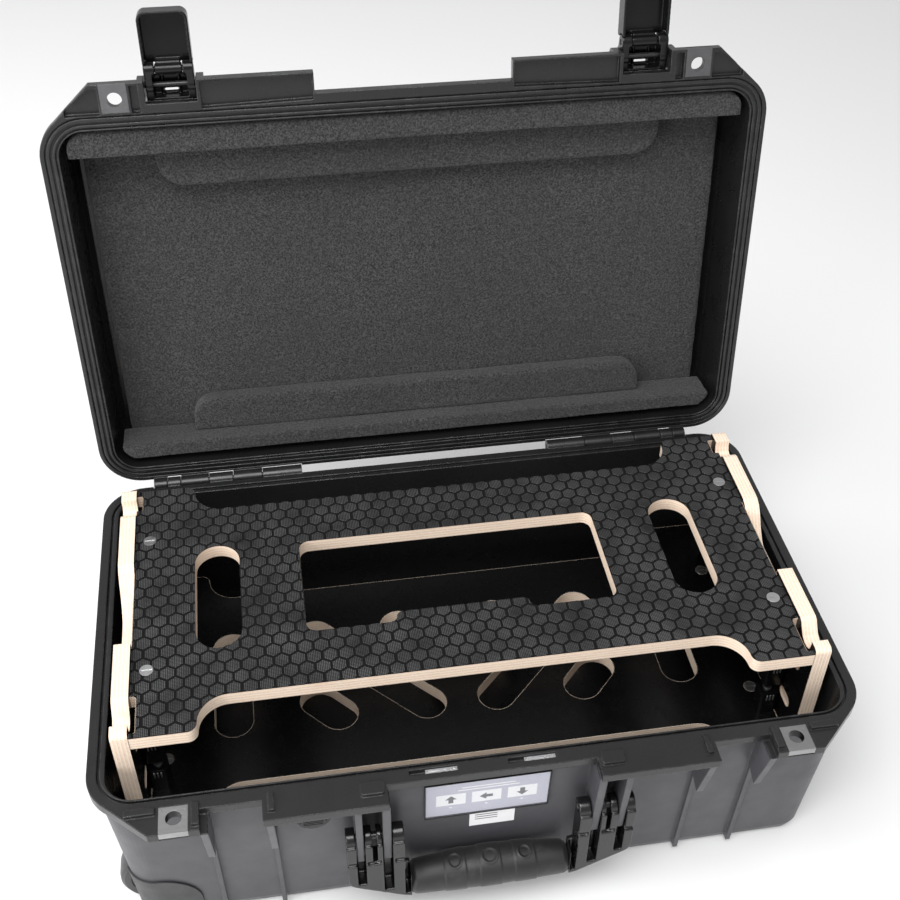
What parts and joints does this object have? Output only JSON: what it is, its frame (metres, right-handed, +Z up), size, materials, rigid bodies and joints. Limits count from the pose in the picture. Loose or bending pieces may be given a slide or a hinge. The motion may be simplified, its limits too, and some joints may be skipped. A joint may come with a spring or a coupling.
{
  "type": "wheeled hard case with plywood rack",
  "caption": "Hard-shell wheeled carry case standing open, with swing latches, carrying handles, a pull-out trolley, a foam-lined lid and a lift-out plywood rack inside.",
  "frame": {"origin": "on the ground under the centre of the rack, at the underside of the case", "axes": "+X along the case's length towards the pull-out handle (wheels at -X), +Y from the front latches towards the lid hinge, +Z up"},
  "size_m": [0.558, 0.4503, 0.5541],
  "materials": {
    "case_plastic": "fine moulded texture",
    "latch_plastic": "semi-gloss moulded",
    "guard_plastic": "fine moulded texture",
    "steel": "satin",
    "zinc": "bright plated",
    "aluminium": "anodised",
    "seal_rubber": "smooth",
    "grip_rubber": "soft matte with raised ovals",
    "tyre_rubber": "smooth polyurethane",
    "foam": "closed-cell foam",
    "ply": "birch plywood with black film on its faces",
    "black_film": "phenolic film with a raised hexagon pattern",
    "paper": "printed card",
    "clear": "clear sheet"
  },
  "bodies": {
    "base": {"base_shell": "case_plastic", "base_padlock_plates": "steel", "purge_valve_body": "latch_plastic", "purge_valve_cap": "latch_plastic", "card_holder": "latch_plastic", "direction_card": "paper", "card_cover": "clear", "small_label": "paper", "seal_clips": "zinc", "hinge_pins": "steel", "front_handle_pins": "steel", "side_handle_pins": "steel", "wheel_guards": "guard_plastic", "wheel_axles": "steel", "trolley_guide": "case_plastic"},
    "lid": {"lid_shell": "case_plastic", "lid_gasket": "seal_rubber", "lid_foam_panel": "foam", "lid_foam_pads": "foam", "lid_foam_bars": "foam", "lid_padlock_plates": "steel", "latch_pins": "steel"},
    "latch_left": {"latch_left_arm": "latch_plastic", "latch_left_pin": "steel"},
    "latch_left_lever": {"latch_left_cover": "latch_plastic"},
    "latch_right": {"latch_right_arm": "latch_plastic", "latch_right_pin": "steel"},
    "latch_right_lever": {"latch_right_cover": "latch_plastic"},
    "front_handle": {"front_handle_frame": "latch_plastic", "front_handle_grip": "grip_rubber"},
    "side_handle": {"side_handle_frame": "latch_plastic", "side_handle_grip": "grip_rubber"},
    "wheel_front": {"wheel_front_tyre": "tyre_rubber", "wheel_front_hub": "latch_plastic"},
    "wheel_back": {"wheel_back_tyre": "tyre_rubber", "wheel_back_hub": "latch_plastic"},
    "trolley_mid": {"trolley_mid_tubes": "aluminium"},
    "trolley_handle": {"trolley_inner_tubes": "aluminium", "trolley_grip": "latch_plastic"},
    "trolley_button": {"trolley_button": "guard_plastic"},
    "rack": {"rack_deck": "ply", "rack_deck_film": "black_film", "rack_shelf": "ply", "rack_panel_left": "ply", "rack_panel_right": "ply", "rack_screws": "zinc", "rack_brackets": "latch_plastic", "rack_bracket_bolts": "zinc"}
  },
  "joints": [
    {"name": "lid_hinge", "type": "hinge", "parent": "base", "child": "lid", "pos_m": [0, 0.1645, 0.1627], "axis": [-1, 0, 0], "range_deg": [-97.3, 0]},
    {"name": "latch_left_swing", "type": "hinge", "parent": "lid", "child": "latch_left", "pos_m": [-0.1785, 0.22567, 0.50016], "axis": [-1, 0, 0], "range_deg": [-90, 0]},
    {"name": "latch_left_pull", "type": "hinge", "parent": "latch_left", "child": "latch_left_lever", "pos_m": [-0.1785, 0.22472, 0.51238], "axis": [-1, 0, 0], "range_deg": [0, 40]},
    {"name": "latch_right_swing", "type": "hinge", "parent": "lid", "child": "latch_right", "pos_m": [0.1785, 0.22567, 0.50016], "axis": [-1, 0, 0], "range_deg": [-90, 0]},
    {"name": "latch_right_pull", "type": "hinge", "parent": "latch_right", "child": "latch_right_lever", "pos_m": [0.1785, 0.22472, 0.51238], "axis": [-1, 0, 0], "range_deg": [0, 40]},
    {"name": "front_handle_swing", "type": "hinge", "parent": "base", "child": "front_handle", "pos_m": [0, -0.17, 0.107], "axis": [-1, 0, 0], "range_deg": [0, 95]},
    {"name": "side_handle_swing", "type": "hinge", "parent": "base", "child": "side_handle", "pos_m": [0.2754, 0, 0.118], "axis": [0, -1, 0], "range_deg": [0, 95]},
    {"name": "wheel_front_spin", "type": "hinge", "parent": "base", "child": "wheel_front", "pos_m": [-0.2475, -0.1225, 0.03], "axis": [0, 1, 0], "continuous": true},
    {"name": "wheel_back_spin", "type": "hinge", "parent": "base", "child": "wheel_back", "pos_m": [-0.2475, 0.1225, 0.03], "axis": [0, 1, 0], "continuous": true},
    {"name": "trolley_mid_slide", "type": "slide", "parent": "base", "child": "trolley_mid", "axis": [1, 0, 0], "range_m": [0, 0.2]},
    {"name": "trolley_handle_slide", "type": "slide", "parent": "trolley_mid", "child": "trolley_handle", "axis": [1, 0, 0], "range_m": [0, 0.2]},
    {"name": "trolley_button_press", "type": "slide", "parent": "trolley_handle", "child": "trolley_button", "axis": [-1, 0, 0], "range_m": [0, 0.003], "stiffness_N_per_m": 400, "springref_m": -0.002},
    {"name": "rack_lift", "type": "slide", "parent": "base", "child": "rack", "axis": [0, 0, 1], "range_m": [0, 0.2]}
  ]
}
